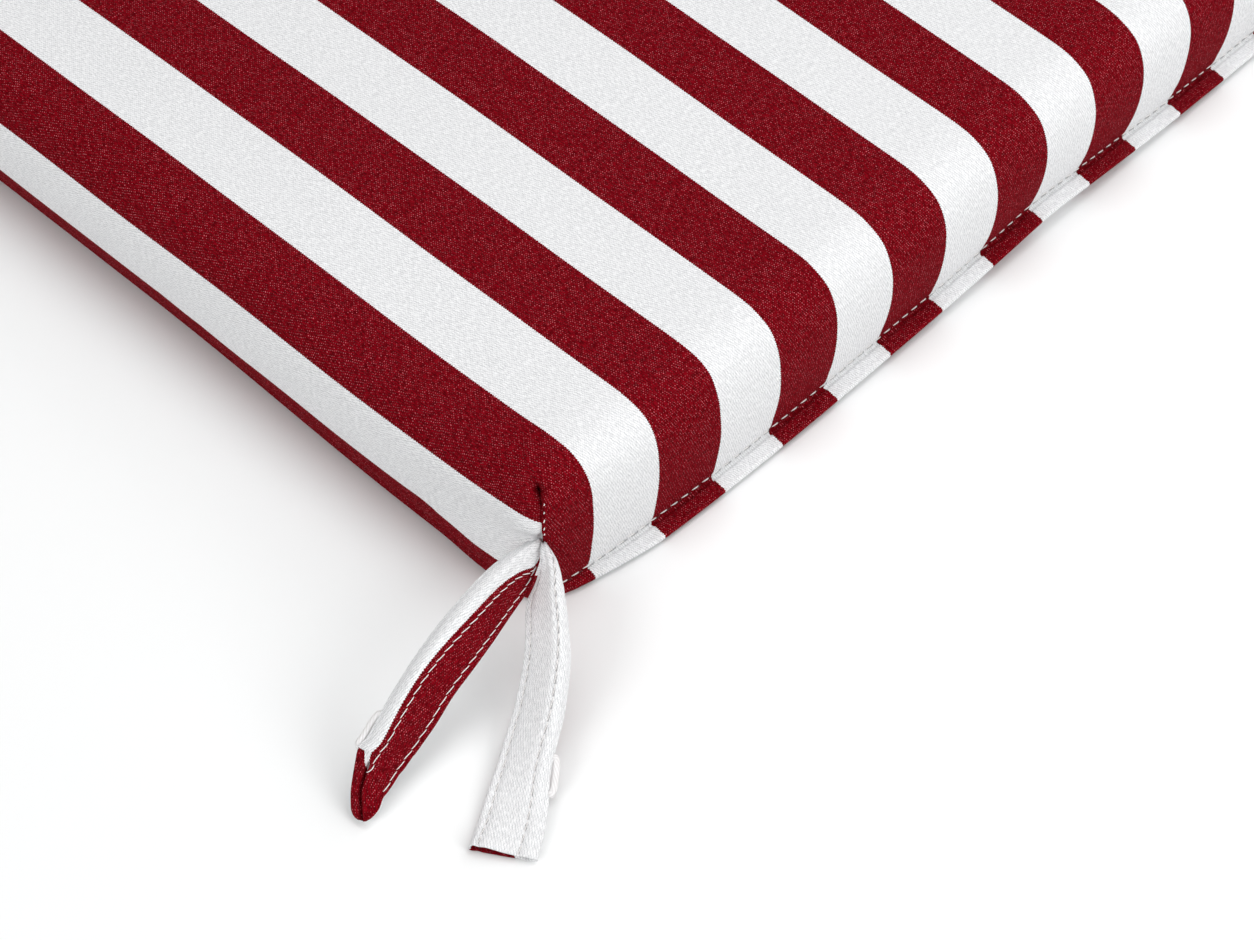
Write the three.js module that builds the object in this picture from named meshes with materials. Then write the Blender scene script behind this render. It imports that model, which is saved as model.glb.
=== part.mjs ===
import * as THREE from 'three';
import { mergeVertices } from 'three/addons/utils/BufferGeometryUtils.js';

// A filled chair cushion in striped canvas, with a round flange sewn along both ends and a pair
// of flat ties at each back corner. Millimetres. X runs across the stripes, Y along them with the
// tied back end at +Y, Z up. The cushion lies on its back on z = 0, centred over the origin.

const cushion = {
  width: 450, // between the widest points of the two long sides
  length: 442.6, // between the widest points of the two end walls, flanges not counted
  edgeHeight: 52.5, // top of the roll above the floor
  crown: 12.4, // how much higher the middle stands than the edges
  crownPower: 1.6,
  rollWidth: 13, // how far the roll reaches into the top, and the corners' radius in plan
  cornerSquare: 0.12, // how much squarer than round the corners are
  topRoll: 15, // height of the roll from wall to top
  widestHeight: 33, // where the walls stand out furthest
  endInset: 3.3, // how far the end seam lies inside the widest point
  sideInset: 1,
  endBow: 6.3, // how far the corners are drawn in from the ends' middle
  sideBow: 1.5,
  bowPower: 5,
  seamAtCorner: 5, // height of the end seam at the corners
  seamAtEnd: 9, // and at the middle of an end
  seamAtSide: 10, // the same line where it runs out along a long side
  underRoll: 11, // plan width of the roll under the edge
  dartDepth: 2, // how far the corner's dart seam is pulled in
};

const flange = {
  width: 7.1, // from the seam to the round outer edge
  thickness: 4.2,
  start: 4, // distance from the widest side where it begins
  taper: 38, // length over which it comes to its full width
  taperPower: 0.6,
  // a row for each point round the flange, from the seam above it to its root below
  outline: [
    { out: 0.1, rise: -0.5 },
    { out: 0.5, rise: -0.6 },
    { out: 0.82, rise: -1.1 },
    { out: 1.0, rise: -2.4 },
    { out: 0.84, rise: -3.8 },
    { out: 0.1, rise: -4.2 },
  ],
};

const grid = { rollSteps: 4, flatSteps: 16, wallSteps: 4, underAngles: [30, 60, 90] };

const tie = {
  thickness: 2.4, // two layers of canvas with turned edges
  rootGap: 0.4, // clear of the dart that it comes out of
  creaseRound: 1.6, // radius of the crease between the face and the narrow band
  stations: 18,
};

// Each tie is a flat strap, creased lengthwise into a wide face and a narrow band.
// out, aside and height place the crease from the dart, aside being towards the other tie.
// faceDrop and bandDrop say how far each side of the crease hangs below the level, in degrees.
// The small loop stands on the band's edge between two distances out.
const sideTie = {
  heading: 8, // degrees from the long side's outward direction
  towards: 1, // the other tie lies on the left of the way out
  loop: { from: 67.5, to: 78 },
  sections: [
    { out: 3.0, aside: -0.6, height: 28.8, face: 2.6, faceDrop: 80, band: 0.8, bandDrop: 60 },
    { out: 8.2, aside: -0.8, height: 30.8, face: 8.0, faceDrop: 80, band: 3.4, bandDrop: 40 },
    { out: 17.6, aside: -0.5, height: 32.4, face: 12.0, faceDrop: 72, band: 5.0, bandDrop: 22 },
    { out: 30.5, aside: 0.0, height: 33.6, face: 13.2, faceDrop: 62, band: 5.2, bandDrop: 24 },
    { out: 44.3, aside: 0.0, height: 32.4, face: 13.2, faceDrop: 54, band: 5.2, bandDrop: 30 },
    { out: 55.1, aside: 0.0, height: 29.0, face: 13.2, faceDrop: 56, band: 5.2, bandDrop: 32 },
    { out: 65.0, aside: 0.2, height: 23.8, face: 13.2, faceDrop: 58, band: 5.2, bandDrop: 26 },
    { out: 73.4, aside: 0.2, height: 17.6, face: 12.2, faceDrop: 62, band: 5.0, bandDrop: 18 },
    { out: 79.6, aside: 0.6, height: 12.2, face: 9.6, faceDrop: 62, band: 5.0, bandDrop: 10 },
    { out: 84.0, aside: 1.8, height: 7.8, face: 6.6, faceDrop: 46, band: 4.4, bandDrop: 8 },
    { out: 86.6, aside: 4.4, height: 4.4, face: 3.6, faceDrop: 30, band: 3.2, bandDrop: 16 },
    { out: 88.0, aside: 7.6, height: 2.8, face: 1.4, faceDrop: 16, band: 1.4, bandDrop: 16 },
  ],
};

const endTie = {
  heading: 38,
  towards: -1,
  loop: { from: 56.4, to: 67 },
  sections: [
    { out: 2.2, aside: -1.4, height: 30.8, face: 1.8, faceDrop: 24, band: 1.0, bandDrop: 96 },
    { out: 8.2, aside: -4.6, height: 30.6, face: 6.4, faceDrop: 14, band: 3.2, bandDrop: 98 },
    { out: 16.0, aside: -7.6, height: 28.8, face: 10.2, faceDrop: 10, band: 4.2, bandDrop: 98 },
    { out: 25.6, aside: -10.2, height: 25.0, face: 11.8, faceDrop: 9, band: 4.6, bandDrop: 98 },
    { out: 34.2, aside: -11.0, height: 20.8, face: 12.6, faceDrop: 8, band: 4.8, bandDrop: 94 },
    { out: 45.8, aside: -10.8, height: 14.2, face: 13.0, faceDrop: 7, band: 5.0, bandDrop: 84 },
    { out: 56.2, aside: -9.2, height: 8.8, face: 13.4, faceDrop: 6, band: 5.0, bandDrop: 64 },
    { out: 68.2, aside: -6.4, height: 4.6, face: 13.5, faceDrop: 4, band: 5.0, bandDrop: 26 },
    { out: 77.0, aside: -4.8, height: 2.6, face: 13.5, faceDrop: 2, band: 5.0, bandDrop: 6 },
    { out: 86.0, aside: -3.2, height: 1.8, face: 13.5, faceDrop: 0, band: 5.0, bandDrop: 1 },
  ],
};

const edgeLoop = { diameter: 1.6, stand: 0.9, gap: 0.35, sides: 8, steps: 8 };

const half = { x: cushion.width / 2, y: cushion.length / 2 };

const canvasRed = new THREE.MeshStandardMaterial({ color: 0x8c1226, roughness: 0.85, metalness: 0 });
const canvasWhite = new THREE.MeshStandardMaterial({ color: 0xf0f0f2, roughness: 0.85, metalness: 0 });
const cordWhite = new THREE.MeshStandardMaterial({ color: 0xe9e8e8, roughness: 0.8, metalness: 0 });

function namedMesh(name, geometry, material) {
  const closed = mergeVertices(geometry, 1e-4);
  closed.computeVertexNormals();
  const piece = new THREE.Mesh(closed, material.clone());
  piece.name = name;
  return piece;
}

function fromFaces(name, points, faces, material) {
  const geometry = new THREE.BufferGeometry();
  geometry.setAttribute('position', new THREE.Float32BufferAttribute(points.flat(), 3));
  geometry.setIndex(faces.flat());
  return namedMesh(name, geometry, material);
}

// How far the surface has turned at a step of a rounded edge, from 45 degrees down to level.
const rollTilt = (step) => Math.tan((Math.PI / 4) * (1 - step / grid.rollSteps));

// The lines of one direction: those of a rounded edge share a place and turn, the rest are level.
function lines(halfSize) {
  const edge = halfSize - cushion.rollWidth;
  const roll = [];
  for (let i = 0; i < grid.rollSteps; i++) roll.push({ inner: edge, tilt: rollTilt(i) });
  const level = [];
  for (let i = 0; i <= grid.flatSteps; i++) {
    level.push({ inner: edge * (1 - (2 * i) / grid.flatSteps), tilt: 0 });
  }
  const other = roll.map(({ inner, tilt }) => ({ inner: -inner, tilt: -tilt })).reverse();
  return [...roll, ...level, ...other].reverse();
}

// The corners are drawn in: each end and side bows out by a high power of the place along it.
function drawIn([x, y, z]) {
  const alongEnd = Math.abs(x / half.x) ** cushion.bowPower;
  const alongSide = Math.abs(y / half.y) ** cushion.bowPower;
  return [
    x * (1 - (cushion.sideBow / half.x) * alongSide),
    y * (1 - (cushion.endBow / half.y) * alongEnd),
    z,
  ];
}

function crownAt(x, y) {
  const across = 1 - Math.min(1, Math.abs(x / half.x)) ** cushion.crownPower;
  const along = 1 - Math.min(1, Math.abs(y / half.y)) ** cushion.crownPower;
  return cushion.crown * across * along;
}

// How much further than round the surface reaches out at a corner.
function squareOut(a, b) {
  const doubled = (2 * a.tilt * b.tilt) / (a.tilt ** 2 + b.tilt ** 2 || 1);
  return 1 + cushion.cornerSquare * doubled ** 2;
}

// A point of the top: a rounded box's surface, lifted by the crown.
function topPoint(a, b, tilt = 1) {
  const n = new THREE.Vector3(a.tilt, b.tilt, tilt).normalize();
  const reach = cushion.rollWidth * squareOut(a, b);
  const x = a.inner + reach * n.x;
  const y = b.inner + reach * n.y;
  const z = cushion.edgeHeight - cushion.topRoll * (1 - n.z);
  return [x, y, z + crownAt(x, y) * n.z];
}

// The corner's own column of the wall is its dart, a seam that is pulled in.
const isDart = (a, b) => Math.abs(Math.abs(a.tilt) - Math.abs(b.tilt)) < 1e-6;

// How far the flange stands out of an end wall at a place across the cushion.
function flangeReach(x) {
  const share = (half.x - flange.start - Math.abs(x)) / flange.taper;
  return flange.width * Math.min(1, Math.max(0, share)) ** flange.taperPower;
}

// A column of the wall, from the top's rim down over the seam and the flange to the underside.
function wallColumn(a, b) {
  const n = new THREE.Vector2(a.tilt, b.tilt).normalize();
  const onEnd = Math.abs(b.tilt) >= Math.abs(a.tilt);
  const pull = isDart(a, b) ? cushion.dartDepth : 0;
  const radius = cushion.rollWidth * squareOut(a, b);
  const from = (inset) => [a.inner + (radius - inset) * n.x, b.inner + (radius - inset) * n.y];
  const column = [];
  for (let i = 0; i <= grid.rollSteps; i++) {
    const [x, y, z] = topPoint(a, b, rollTilt(i));
    const drawn = pull * (0.4 + (0.6 * i) / grid.rollSteps);
    column.push([x - drawn * n.x, y - drawn * n.y, z]);
  }
  const [edgeX, edgeY] = from(0);
  const place = onEnd ? edgeX / half.x : edgeY / half.y;
  const middle = onEnd ? cushion.seamAtEnd : cushion.seamAtSide;
  const seam = cushion.seamAtCorner + (middle - cushion.seamAtCorner) * (1 - place ** 2);
  const inset = (onEnd ? cushion.endInset : cushion.sideInset) + pull;
  const wallTop = cushion.edgeHeight - cushion.topRoll;
  for (let i = 1; i <= grid.wallSteps; i++) {
    const z = wallTop + ((seam - wallTop) * i) / grid.wallSteps;
    const below = Math.max(0, (cushion.widestHeight - z) / (cushion.widestHeight - seam));
    const [x, y] = from(pull + (inset - pull) * below ** 2);
    column.push([x, y, z]);
  }
  const [seamX, seamY] = from(inset);
  const reach = onEnd ? flangeReach(edgeX) * Math.sign(n.y) : 0;
  for (const { out, rise } of flange.outline) column.push([seamX, seamY + reach * out, seam + rise]);
  const root = seam - flange.thickness;
  const rootInset = Math.min(inset, cushion.underRoll / 4);
  for (const angle of grid.underAngles.map(THREE.MathUtils.degToRad)) {
    const [x, y] = from(rootInset + (cushion.underRoll - rootInset) * (1 - Math.cos(angle)));
    column.push([x, y, root * (1 - Math.sin(angle))]);
  }
  return column;
}

function makeCushion() {
  const across = lines(half.x);
  const along = lines(half.y);
  const last = { i: across.length - 1, j: along.length - 1 };
  const points = [];
  const faces = [];
  const quad = (p, q, r, s) => faces.push([p, q, r], [p, r, s]);
  const add = (point) => points.push(drawIn(point)) - 1;

  // the walls first, once round the rim, counter-clockwise from above
  const rim = [];
  for (let i = 0; i < last.i; i++) rim.push([i, 0]);
  for (let j = 0; j < last.j; j++) rim.push([last.i, j]);
  for (let i = last.i; i > 0; i--) rim.push([i, last.j]);
  for (let j = last.j; j > 0; j--) rim.push([0, j]);
  const columns = rim.map(([i, j]) => wallColumn(across[i], along[j]).map(add));
  columns.forEach((column, k) => {
    const next = columns[(k + 1) % columns.length];
    for (let row = 0; row + 1 < column.length; row++) {
      quad(column[row + 1], next[row + 1], next[row], column[row]);
    }
  });

  const onRim = new Map(rim.map(([i, j], k) => [`${i},${j}`, columns[k][0]]));
  const top = across.map((a, i) => along.map((b, j) => onRim.get(`${i},${j}`) ?? add(topPoint(a, b))));
  for (let i = 0; i < last.i; i++) {
    for (let j = 0; j < last.j; j++) {
      quad(top[i][j], top[i + 1][j], top[i + 1][j + 1], top[i][j + 1]);
    }
  }

  // the underside is flat inside the last row of the walls
  const middle = add([0, 0, 0]);
  columns.forEach((column, k) => {
    const next = columns[(k + 1) % columns.length];
    faces.push([middle, next.at(-1), column.at(-1)]);
  });
  return fromFaces('cushion', points, faces, canvasRed);
}

// Smooth values between the rows of a tie's table, by the distance out.
function sampler(sections) {
  const columns = Object.keys(sections[0]);
  const outs = sections.map((row) => row.out);
  const values = sections.flatMap((row) => columns.map((name) => row[name]));
  const smooth = new THREE.CubicInterpolant(outs, values, columns.length, new Float64Array(columns.length));
  const [first, last] = [outs[0], outs.at(-1)];
  const at = (out) => {
    const found = smooth.evaluate(THREE.MathUtils.clamp(out, first, last));
    return Object.fromEntries(columns.map((name, i) => [name, found[i]]));
  };
  return { at, first, last };
}

// Where the ties leave a corner: on the dart seam, just outside the wall.
function dartPlace(side) {
  const radius = cushion.rollWidth * (1 + cushion.cornerSquare);
  const reach = (radius - cushion.dartDepth) * Math.SQRT1_2 + tie.rootGap;
  const x = half.x - cushion.rollWidth + reach;
  const y = half.y - cushion.rollWidth + reach;
  const [placeX, placeY] = drawIn([x, y, 0]);
  return new THREE.Vector3(side * placeX, placeY, 0);
}

// A tie's frame at a distance out: its crease, and the level and upright directions across its way.
function tieFrame(shape, side, out) {
  const turn = THREE.MathUtils.degToRad(shape.heading);
  const outward = new THREE.Vector3(side * Math.cos(turn), Math.sin(turn), 0);
  const toOther = new THREE.Vector3(-side * Math.sin(turn), Math.cos(turn), 0);
  toOther.multiplyScalar(shape.towards);
  const crease = (distance) => {
    const row = shape.rows.at(distance);
    const point = dartPlace(side).addScaledVector(outward, row.out);
    return point.addScaledVector(toOther, row.aside).setZ(row.height);
  };
  const way = crease(out + 0.5).sub(crease(out - 0.5)).normalize();
  const level = toOther.addScaledVector(way, -toOther.dot(way)).normalize();
  const upright = new THREE.Vector3().crossVectors(way, level).multiplyScalar(side * shape.towards);
  const place = ({ x, y }) => crease(out).addScaledVector(level, x).addScaledVector(upright, y);
  return { place, row: shape.rows.at(out) };
}

// The middle line of a strap's section, from the face's free edge over the crease to the band's.
function sectionLine({ face, faceDrop, band, bandDrop }) {
  const faceTurn = THREE.MathUtils.degToRad(faceDrop);
  const bandTurn = THREE.MathUtils.degToRad(bandDrop);
  const round = Math.min(tie.creaseRound, band / 2, face / 2);
  const onFace = (way) => new THREE.Vector2(way * Math.cos(faceTurn), -way * Math.sin(faceTurn));
  const onBand = (way) => new THREE.Vector2(-way * Math.cos(bandTurn), -way * Math.sin(bandTurn));
  const crease = onFace(round / 4).add(onBand(round / 4));
  return [onFace(face), onFace((face + round) / 2), onFace(round), crease, onBand(round), onBand(band)];
}

// The section's outline: its line thickened to both sides.
function sectionRing(row) {
  const line = sectionLine(row);
  const sides = [1, -1].map((sign) => line.map((point, i) => {
    const along = line[Math.min(line.length - 1, i + 1)].clone().sub(line[Math.max(0, i - 1)]);
    const normal = new THREE.Vector2(along.y, -along.x).normalize();
    return point.clone().addScaledVector(normal, (sign * tie.thickness) / 2);
  }));
  return [...sides[0], ...sides[1].reverse()];
}

// A strap is its section carried along its way, with flat ends.
function makeTie(name, shape, side, material) {
  const points = [];
  const faces = [];
  const rings = [];
  for (let s = 0; s <= tie.stations; s++) {
    const out = THREE.MathUtils.lerp(shape.rows.first, shape.rows.last, s / tie.stations);
    const { place, row } = tieFrame(shape, side, out);
    rings.push(sectionRing(row).map((point) => points.push(place(point).toArray()) - 1));
  }
  const inwards = side * shape.towards > 0;
  const face = (p, q, r) => faces.push(inwards ? [p, r, q] : [p, q, r]);
  const [first, last] = [rings[0], rings.at(-1)];
  const count = first.length;
  for (let s = 0; s + 1 < rings.length; s++) {
    for (let i = 0; i < count; i++) {
      const k = (i + 1) % count;
      face(rings[s][i], rings[s + 1][i], rings[s + 1][k]);
      face(rings[s][i], rings[s + 1][k], rings[s][k]);
    }
  }
  // each end is a strip between the upper and the lower line
  for (let i = 0; i + 1 < count / 2; i++) {
    const j = count - 1 - i;
    face(first[i], first[i + 1], first[j]);
    face(first[i + 1], first[j - 1], first[j]);
    face(last[i], last[j], last[i + 1]);
    face(last[i + 1], last[j], last[j - 1]);
  }
  return fromFaces(name, points, faces, material);
}

// The small cord loop on a tie's outer edge: a bow that stands off the band and comes back to it.
function makeLoop(name, shape, side) {
  const radius = edgeLoop.diameter / 2;
  const bow = [];
  for (let i = 0; i <= edgeLoop.steps; i++) {
    const share = i / edgeLoop.steps;
    const out = THREE.MathUtils.lerp(shape.loop.from, shape.loop.to, share);
    const { place, row } = tieFrame(shape, side, out);
    const [inner, edge] = sectionLine(row).slice(-2);
    const stand = edgeLoop.gap + radius + edgeLoop.stand * Math.sqrt(Math.sin(Math.PI * share));
    bow.push(place(edge.addScaledVector(edge.clone().sub(inner).normalize(), stand)));
  }
  const circle = new THREE.Shape().absarc(0, 0, radius, 0, 2 * Math.PI);
  const geometry = new THREE.ExtrudeGeometry(circle, {
    steps: edgeLoop.steps,
    curveSegments: edgeLoop.sides,
    bevelEnabled: false,
    extrudePath: new THREE.CatmullRomCurve3(bow),
  });
  geometry.deleteAttribute('normal');
  geometry.deleteAttribute('uv');
  return namedMesh(name, geometry, cordWhite);
}

const group = new THREE.Group();
group.add(makeCushion());
for (const [place, shape, material] of [['side', sideTie, canvasRed], ['end', endTie, canvasWhite]]) {
  const drawn = { ...shape, rows: sampler(shape.sections) };
  for (const [corner, side] of [['right', 1], ['left', -1]]) {
    group.add(makeTie(`tie_${corner}_${place}`, drawn, side, material));
    group.add(makeLoop(`loop_${corner}_${place}`, drawn, side));
  }
}

export default group;
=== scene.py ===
import math
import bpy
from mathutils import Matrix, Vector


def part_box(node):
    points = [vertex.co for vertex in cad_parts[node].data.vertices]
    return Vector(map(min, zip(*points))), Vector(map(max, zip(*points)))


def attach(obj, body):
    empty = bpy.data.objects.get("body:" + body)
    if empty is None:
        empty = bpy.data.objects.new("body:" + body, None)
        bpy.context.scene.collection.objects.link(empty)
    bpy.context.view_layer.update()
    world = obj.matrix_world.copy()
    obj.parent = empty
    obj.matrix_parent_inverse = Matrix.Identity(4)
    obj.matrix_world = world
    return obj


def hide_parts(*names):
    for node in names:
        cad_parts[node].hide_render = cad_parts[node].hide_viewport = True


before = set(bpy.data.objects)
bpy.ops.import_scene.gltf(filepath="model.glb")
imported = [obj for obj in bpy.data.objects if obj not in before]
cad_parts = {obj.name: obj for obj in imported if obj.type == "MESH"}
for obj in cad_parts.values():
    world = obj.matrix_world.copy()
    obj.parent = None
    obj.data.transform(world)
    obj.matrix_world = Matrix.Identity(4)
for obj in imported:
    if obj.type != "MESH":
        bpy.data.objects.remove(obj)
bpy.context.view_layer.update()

from types import SimpleNamespace as Sizes

import bpy
import numpy as np
from mathutils import Matrix

# A filled chair cushion in broad red and white stripes, with flanged ends and tied corners.
# X runs across the stripes, Y along them, Z up. Sizes are in millimetres until a mesh is made.

mm = 0.001
cushionHigh = np.array(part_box("cushion")[1]) / mm


# camera, at the photo's angle

cameraSizes = {
    "eye": (559.19, 562.43, 644.97),
    "azimuth": 43.17,  # of the eye seen from where it looks, from +X towards +Y
    "elevation": 50.17,
    "roll": 0.468,
    "focalPixels": 2811.16,
    "frameWidth": 1254,
    "sensor": 36.0,
    "clipStart": 0.01,
}


def placeObject(name, data, right, up, back, place):
    # a camera or a light that looks along minus back, from a place in metres
    item = bpy.data.objects.new(name, data)
    item.matrix_world = Matrix([[right[i], up[i], back[i], place[i]] for i in range(3)] + [[0, 0, 0, 1]])
    bpy.context.scene.collection.objects.link(item)
    return item


def addCamera(sizes):
    # back is (cos e cos a, cos e sin a, sin e) of azimuth a and elevation e, and roll turns about it
    s = Sizes(**sizes)
    azimuth, elevation, roll = (math.radians(angle) for angle in (s.azimuth, s.elevation, s.roll))
    level = np.array([-math.sin(azimuth), math.cos(azimuth), 0.0])
    back = math.cos(elevation) * np.array([math.cos(azimuth), math.sin(azimuth), math.tan(elevation)])
    upright = np.cross(back, level)
    right = math.cos(roll) * level + math.sin(roll) * upright
    up = math.cos(roll) * upright - math.sin(roll) * level
    data = bpy.data.cameras.new("camera")
    data.sensor_width = s.sensor
    data.lens = s.focalPixels / s.frameWidth * s.sensor
    data.clip_start = s.clipStart
    bpy.context.scene.camera = placeObject("camera", data, right, up, back, np.array(s.eye) * mm)


addCamera(cameraSizes)
print("camera placed")


# mesh helpers

def gridQuads(rows, columns, first=0, wrap=False):
    # quads over a grid of points kept row by row; wrap joins the last column to the first
    i, j = np.meshgrid(np.arange(rows - 1), np.arange(columns if wrap else columns - 1), indexing="ij")
    k = (j + 1) % columns
    corners = (i * columns + j, i * columns + k, (i + 1) * columns + k, (i + 1) * columns + j)
    return first + np.stack(corners, -1).reshape(-1, 4)


def addMesh(name, points, faces, material, uv=None, layers=None):
    # points in millimetres, faces as a list of index arrays, uv and layers one row for each corner
    mesh = bpy.data.meshes.new(name)
    mesh.vertices.add(len(points))
    mesh.vertices.foreach_set("co", (np.asarray(points, float) * mm).ravel())
    sizes = np.concatenate([np.full(len(part), part.shape[1]) for part in faces])
    corners = np.concatenate([part.ravel() for part in faces]).astype(np.int32)
    mesh.loops.add(len(corners))
    mesh.loops.foreach_set("vertex_index", corners)
    mesh.polygons.add(len(sizes))
    mesh.polygons.foreach_set("loop_start", (np.cumsum(sizes) - sizes).astype(np.int32))
    mesh.polygons.foreach_set("use_smooth", np.ones(len(sizes), bool))
    mesh.update(calc_edges=True)
    maps = {} if uv is None else {"cloth": uv, **(layers or {})}
    for layerName, values in maps.items():
        mesh.uv_layers.new(name=layerName).data.foreach_set("uv", (np.asarray(values) * mm).ravel())
    mesh.validate()
    mesh.materials.append(material)
    piece = bpy.data.objects.new(name, mesh)
    bpy.context.scene.collection.objects.link(piece)
    return piece


def unit(vectors):
    # each vector divided by its length
    return vectors / np.maximum(np.linalg.norm(vectors, axis=-1, keepdims=True), 1e-12)


def smoothStep(low, high, value):
    # 3 s^2 - 2 s^3, where s is the share of the way from low to high, held between 0 and 1
    share = np.clip((value - low) / (high - low), 0, 1)
    return share * share * (3 - 2 * share)


def splineRows(table, at):
    # cubic Hermite curve through a table's rows, read at distances out; a row's slope is its neighbours'
    table = np.asarray(table, float)
    place = table[:, 0]
    before = np.r_[0, np.arange(len(place) - 1)]
    after = np.r_[np.arange(1, len(place)), len(place) - 1]
    slope = (table[after] - table[before]) / (place[after] - place[before])[:, None]
    k = np.clip(np.searchsorted(place, at) - 1, 0, len(place) - 2)
    step = (place[k + 1] - place[k])[:, None]
    t = (at - place[k])[:, None] / step
    return (
        table[k] * (1 + 2 * t) * (1 - t) ** 2 + table[k + 1] * (3 - 2 * t) * t ** 2
        + step * t * (1 - t) * (slope[k] * (1 - t) - slope[k + 1] * t)
    )


# shaders

class Value:
    # a socket that takes part in sums as a number does: each operator below adds a math node

    def __init__(self, wiring, socket):
        self.wiring, self.socket = wiring, socket


for sign, operation in (("add", "ADD"), ("sub", "SUBTRACT"), ("mul", "MULTIPLY"), ("truediv", "DIVIDE"),
                        ("mod", "FLOORED_MODULO"), ("pow", "POWER")):
    setattr(Value, f"__{sign}__", lambda one, two, kind=operation: one.wiring.math(kind, one, two))
    setattr(Value, f"__r{sign}__", lambda one, two, kind=operation: one.wiring.math(kind, two, one))


class Wiring:
    # adds nodes to a tree; a Value or a plain number may be given for each input

    def __init__(self, tree):
        self.tree = tree

    def node(self, kind, **settings):
        made = self.tree.nodes.new(kind)
        for key, value in settings.items():
            setattr(made, key, value)
        return made

    def out(self, node, name=0):
        return Value(self, node.outputs[name])

    def feed(self, socket, value):
        if isinstance(value, Value):
            self.tree.links.new(value.socket, socket)
        else:
            socket.default_value = value

    def made(self, kind, values, name=0, **settings):
        # a node whose first inputs are the values
        node = self.node(kind, **settings)
        for socket, value in zip(node.inputs, values):
            self.feed(socket, value)
        return self.out(node, name)

    def math(self, operation, first, second=0.0):
        return self.made("ShaderNodeMath", (first, second), operation=operation)

    def ramp(self, value, low, high, toLow=0.0, toHigh=1.0):
        # a smooth step between low and high
        given = (value, low, high, toLow, toHigh)
        return self.made("ShaderNodeMapRange", given, interpolation_type="SMOOTHSTEP")

    def join(self, x, y):
        return self.made("ShaderNodeCombineXYZ", (x, y))

    def split(self, vector):
        node = self.node("ShaderNodeSeparateXYZ")
        self.feed(node.inputs[0], vector)
        return self.out(node, "X"), self.out(node, "Y")

    def uvMap(self, name):
        return self.out(self.node("ShaderNodeUVMap", uv_map=name))

    def noise(self, vector, scale, detail=2.0, kind="3D"):
        node = self.node("ShaderNodeTexNoise", noise_dimensions=kind)
        for name, value in (("Vector", vector), ("Scale", scale), ("Detail", detail)):
            self.feed(node.inputs[name], value)
        return self.out(node, "Fac")

    def mix(self, share, first, second):
        node = self.node("ShaderNodeMix", data_type="RGBA")
        self.feed(node.inputs["Factor"], share)
        for socket, value in ((node.inputs[6], first), (node.inputs[7], second)):
            self.feed(socket, value if isinstance(value, Value) else (*value, 1.0))
        return self.out(node, 2)

    def bump(self, shader, height, strength, distance):
        node = self.node("ShaderNodeBump")
        for name, value in (("Strength", strength), ("Distance", distance), ("Height", height)):
            self.feed(node.inputs[name], value)
        self.feed(shader.inputs["Normal"], self.out(node))


def newGroup(name, inputs, outputs):
    # a shader group with a Vector input; its other inputs and its outputs are numbers
    group = bpy.data.node_groups.new(name, "ShaderNodeTree")
    group.interface.new_socket("Vector", in_out="INPUT", socket_type="NodeSocketVector")
    for names, way in ((inputs, "INPUT"), (outputs, "OUTPUT")):
        for socketName in names:
            group.interface.new_socket(socketName, in_out=way, socket_type="NodeSocketFloat")
    return group, Wiring(group)


weaveSizes = {
    "warp": 0.27 * mm,  # one thread to the next, across the stripes
    "weft": 0.66 * mm,
    "wander": 1.8,  # how far threads stray, from one side to the other, in threads
    "wanderScale": 500.0,
    "warpFlat": 0.55,  # how flat a warp thread lies, from 0 to 1
    "dotSharp": (0.6, 3.5),  # powers that narrow the dot where it dips, across and along
    "dotHeight": 0.6,
    "uneven": 0.35,
    "tooth": 0.16 * mm,  # how far a stripe's border steps in and out, and over how many threads
    "toothThreads": 0.6,
    "slub": (0.42 * mm, 1.7 * mm),  # size of thick and thin places, across and along the warp
}


def makeWeaveGroup(sizes):
    # a 2/1 warp twill: on each weft every third warp thread dips, one thread further on each weft
    s = Sizes(**sizes)
    group, w = newGroup("twill weave", (), ("Height", "Dot", "Chance", "Tooth", "Slub"))
    given = w.out(w.node("NodeGroupInput"), "Vector")
    x, y = w.split(given)
    stray = (w.noise(given, s.wanderScale) - 0.5) * s.wander
    across, along = x / s.warp + stray, y / s.weft + stray
    column, row = w.math("FLOOR", across), w.math("FLOOR", along)
    dips = w.math("LESS_THAN", (column + row) % 3.0, 0.5)
    warpRound, weftRound = (w.math("SINE", w.math("FRACT", place) * math.pi) for place in (across, along))
    dot = dips * (warpRound ** s.dotSharp[0] * weftRound ** s.dotSharp[1])
    chance = w.made("ShaderNodeTexWhiteNoise", (w.join(column, row),), noise_dimensions="2D")
    crest = warpRound * (1 - s.warpFlat) + s.warpFlat
    height = crest * (1.0 - dips) + (dot * s.dotHeight + (chance - 0.5) * s.uneven)
    halfTooth = s.toothThreads / 2
    tooth = (w.math("PINGPONG", along, s.toothThreads) - halfTooth) * (s.tooth / halfTooth)
    slub = w.noise(w.join(x / s.slub[0], y / s.slub[1]), 1.0, detail=1.0, kind="2D")
    out = w.node("NodeGroupOutput")
    for socket, value in zip(out.inputs, (height, dot, chance, tooth, slub)):
        w.feed(socket, value)
    return group


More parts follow.
